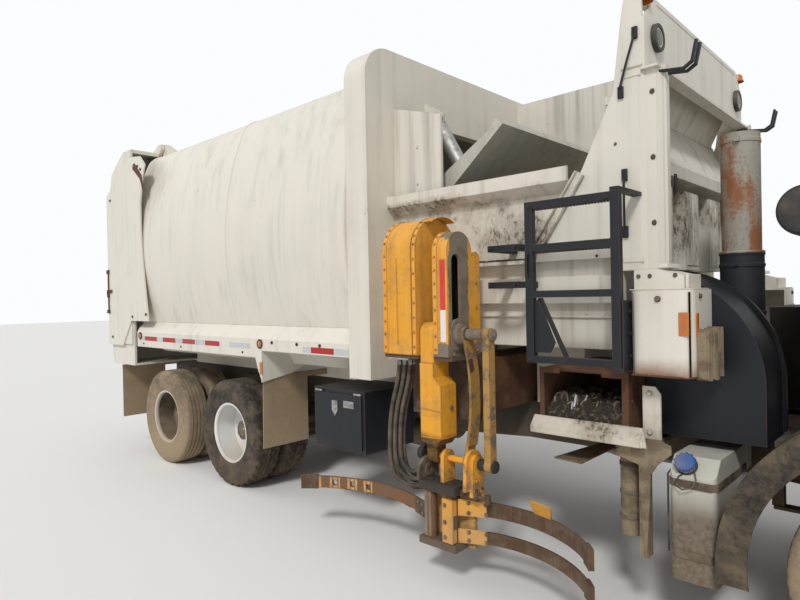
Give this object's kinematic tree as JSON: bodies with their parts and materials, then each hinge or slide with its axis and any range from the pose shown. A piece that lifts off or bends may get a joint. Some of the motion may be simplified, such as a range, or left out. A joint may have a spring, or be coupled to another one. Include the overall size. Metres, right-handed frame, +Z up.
{
  "type": "garbage truck",
  "caption": "Side-loading garbage truck with a low front cab, open hopper, barrel-sided body with a lifting tailgate, and a sliding, lifting arm with a gripper.",
  "frame": {"origin": "on the floor under the middle of the truck's overall box", "axes": "+X forward, +Y to the left, +Z up"},
  "size_m": [10.06, 3.1355, 3.82],
  "materials": {
    "body_cream": "aged cream paint with grey streaks and rust",
    "arm_yellow": "worn orange-yellow paint, grey with dirt",
    "cab_white": "off-white paint, dusty",
    "frame_black": "dusty black paint",
    "guard_black": "scuffed black paint",
    "rusty_steel": "rusty bare steel",
    "bare_steel": "worn bare steel",
    "tyre": "dusty tyre rubber",
    "rim_paint": "white paint under tan mud",
    "flap_rubber": "muddy black rubber",
    "hose_rubber": "dull black hose rubber",
    "glass": "dusty tinted glass",
    "trim_black": "black moulded plastic",
    "tank_steel": "dull aluminium",
    "engine_grey": "oily grey castings"
  },
  "bodies": {
    "chassis": {"frame_rails": "frame_black", "axles": "frame_black", "suspension": "frame_black", "engine_block": "engine_grey", "fuel_tank": "tank_steel", "def_tank": "trim_black", "side_boxes": "guard_black", "strut_brackets": "rusty_steel", "exhaust_stack": "rusty_steel", "packer_cover": "guard_black", "service_tanks": "frame_black", "bumper": "cab_white", "front_fenders": "trim_black", "body_shell": "body_cream", "collar": "body_cream", "side_rails": "body_cream", "mudflaps": "flap_rubber", "hopper_walls": "body_cream", "header_frame": "body_cream", "corner_boxes": "body_cream", "reach_housing": "rusty_steel", "side_guard": "guard_black"},
    "cab": {"cab_shell": "cab_white", "cab_glass": "glass", "cab_interior": "trim_black", "grille": "trim_black", "mirrors": "trim_black"},
    "door_right": {"door_right": "cab_white", "door_right_glass": "glass"},
    "door_left": {"door_left": "cab_white", "door_left_glass": "glass"},
    "knuckle_right": {"knuckle_right": "frame_black"},
    "knuckle_left": {"knuckle_left": "frame_black"},
    "front_wheel_right": {"front_tyre_right": "tyre", "front_rim_right": "rim_paint"},
    "front_wheel_left": {"front_tyre_left": "tyre", "front_rim_left": "rim_paint"},
    "rear_wheel_right_1": {"rear_tyres_right_1": "tyre", "rear_rims_right_1": "rim_paint"},
    "rear_wheel_right_2": {"rear_tyres_right_2": "tyre", "rear_rims_right_2": "rim_paint"},
    "rear_wheel_left_1": {"rear_tyres_left_1": "tyre", "rear_rims_left_1": "rim_paint"},
    "rear_wheel_left_2": {"rear_tyres_left_2": "tyre", "rear_rims_left_2": "rim_paint"},
    "tailgate": {"tailgate": "body_cream"},
    "crusher": {"crusher_panel": "body_cream"},
    "crusher_barrels": {"crusher_barrels": "bare_steel"},
    "crusher_rods": {"crusher_rods": "bare_steel"},
    "side_gate": {"side_gate": "guard_black"},
    "reach": {"reach_beam": "arm_yellow", "mast_casing": "arm_yellow", "slot_mast": "arm_yellow", "hoses": "hose_rubber"},
    "carriage": {"lift_carriage": "bare_steel"},
    "arm": {"lower_arm": "arm_yellow", "arm_links": "arm_yellow"},
    "gripper": {"gripper_head": "arm_yellow"},
    "rear_finger": {"rear_finger": "arm_yellow"},
    "front_fingers": {"front_fingers": "arm_yellow"}
  },
  "joints": [
    {"name": "steer_right", "type": "hinge", "parent": "chassis", "child": "knuckle_right", "pos_m": [3.52, -0.905, 0.525], "axis": [0, 0, 1], "range_deg": [-35, 35]},
    {"name": "steer_left", "type": "hinge", "parent": "chassis", "child": "knuckle_left", "pos_m": [3.52, 0.905, 0.525], "axis": [0, 0, 1], "range_deg": [-35, 35]},
    {"name": "front_wheel_right_spin", "type": "hinge", "parent": "knuckle_right", "child": "front_wheel_right", "pos_m": [3.52, -1.03, 0.525], "axis": [0, 1, 0], "continuous": true},
    {"name": "front_wheel_left_spin", "type": "hinge", "parent": "knuckle_left", "child": "front_wheel_left", "pos_m": [3.52, 1.03, 0.525], "axis": [0, 1, 0], "continuous": true},
    {"name": "rear_wheel_right_1_spin", "type": "hinge", "parent": "chassis", "child": "rear_wheel_right_1", "pos_m": [-3.08, -0.91, 0.525], "axis": [0, 1, 0], "continuous": true},
    {"name": "rear_wheel_left_1_spin", "type": "hinge", "parent": "chassis", "child": "rear_wheel_left_1", "pos_m": [-3.08, 0.91, 0.525], "axis": [0, 1, 0], "continuous": true},
    {"name": "rear_wheel_right_2_spin", "type": "hinge", "parent": "chassis", "child": "rear_wheel_right_2", "pos_m": [-1.73, -0.91, 0.525], "axis": [0, 1, 0], "continuous": true},
    {"name": "rear_wheel_left_2_spin", "type": "hinge", "parent": "chassis", "child": "rear_wheel_left_2", "pos_m": [-1.73, 0.91, 0.525], "axis": [0, 1, 0], "continuous": true},
    {"name": "cab_tilt", "type": "hinge", "parent": "chassis", "child": "cab", "pos_m": [4.85, 0, 0.74], "axis": [0, 1, 0], "range_deg": [0, 45]},
    {"name": "door_right_open", "type": "hinge", "parent": "cab", "child": "door_right", "pos_m": [4.8, -1.16, 1.7], "axis": [0, 0, 1], "range_deg": [0, 70]},
    {"name": "door_left_open", "type": "hinge", "parent": "cab", "child": "door_left", "pos_m": [4.8, 1.16, 1.7], "axis": [0, 0, -1], "range_deg": [0, 70]},
    {"name": "tailgate_lift", "type": "hinge", "parent": "chassis", "child": "tailgate", "pos_m": [-3.78, 0, 3.77], "axis": [0, 1, 0], "range_deg": [0, 85]},
    {"name": "crusher_swing", "type": "hinge", "parent": "chassis", "child": "crusher", "pos_m": [0.42, 0, 2.29], "axis": [0, 1, 0], "range_deg": [0, 40]},
    {"name": "crusher_barrel_swing", "type": "hinge", "parent": "chassis", "child": "crusher_barrels", "pos_m": [0.395, 0, 3.32], "axis": [0, 1, 0], "range_deg": [-2.5, 0.5]},
    {"name": "crusher_rod_slide", "type": "slide", "parent": "crusher_barrels", "child": "crusher_rods", "axis": [0.4996, 0, -0.8663], "range_m": [0, 0.365]},
    {"name": "side_gate_swing", "type": "hinge", "parent": "chassis", "child": "side_gate", "pos_m": [2.267, -1.27, 1.9], "axis": [0, 0, 1], "range_deg": [0, 90]},
    {"name": "arm_reach", "type": "slide", "parent": "chassis", "child": "reach", "axis": [0, -1, 0], "range_m": [0, 1]},
    {"name": "carriage_lift", "type": "slide", "parent": "reach", "child": "carriage", "axis": [0, 0, 1], "range_m": [0, 0.4]},
    {"name": "arm_lift", "type": "hinge", "parent": "carriage", "child": "arm", "pos_m": [1.071, -1.365, 1.6], "axis": [-1, 0, 0], "range_deg": [0, 150]},
    {"name": "wrist_tilt", "type": "hinge", "parent": "arm", "child": "gripper", "pos_m": [1.071, -1.365, 0.8], "axis": [-1, 0, 0], "range_deg": [0, 30]},
    {"name": "rear_finger_close", "type": "hinge", "parent": "gripper", "child": "rear_finger", "pos_m": [1.07, -1.42, 0.45], "axis": [0, 0, 1], "range_deg": [0, 60]},
    {"name": "front_fingers_close", "type": "hinge", "parent": "gripper", "child": "front_fingers", "pos_m": [1.24, -1.42, 0.45], "axis": [0, 0, 1], "range_deg": [-60, 0]}
  ],
  "couplings": [
    {"joint": "steer_left", "follows": "steer_right", "ratio": 1},
    {"joint": "crusher_barrel_swing", "follows": "crusher_swing", "ratio": -0.0475},
    {"joint": "crusher_rod_slide", "follows": "crusher_swing", "m_per_rad": 0.5167},
    {"joint": "carriage_lift", "follows": "arm_lift", "m_per_rad": 0.1527},
    {"joint": "front_fingers_close", "follows": "rear_finger_close", "ratio": -1}
  ]
}
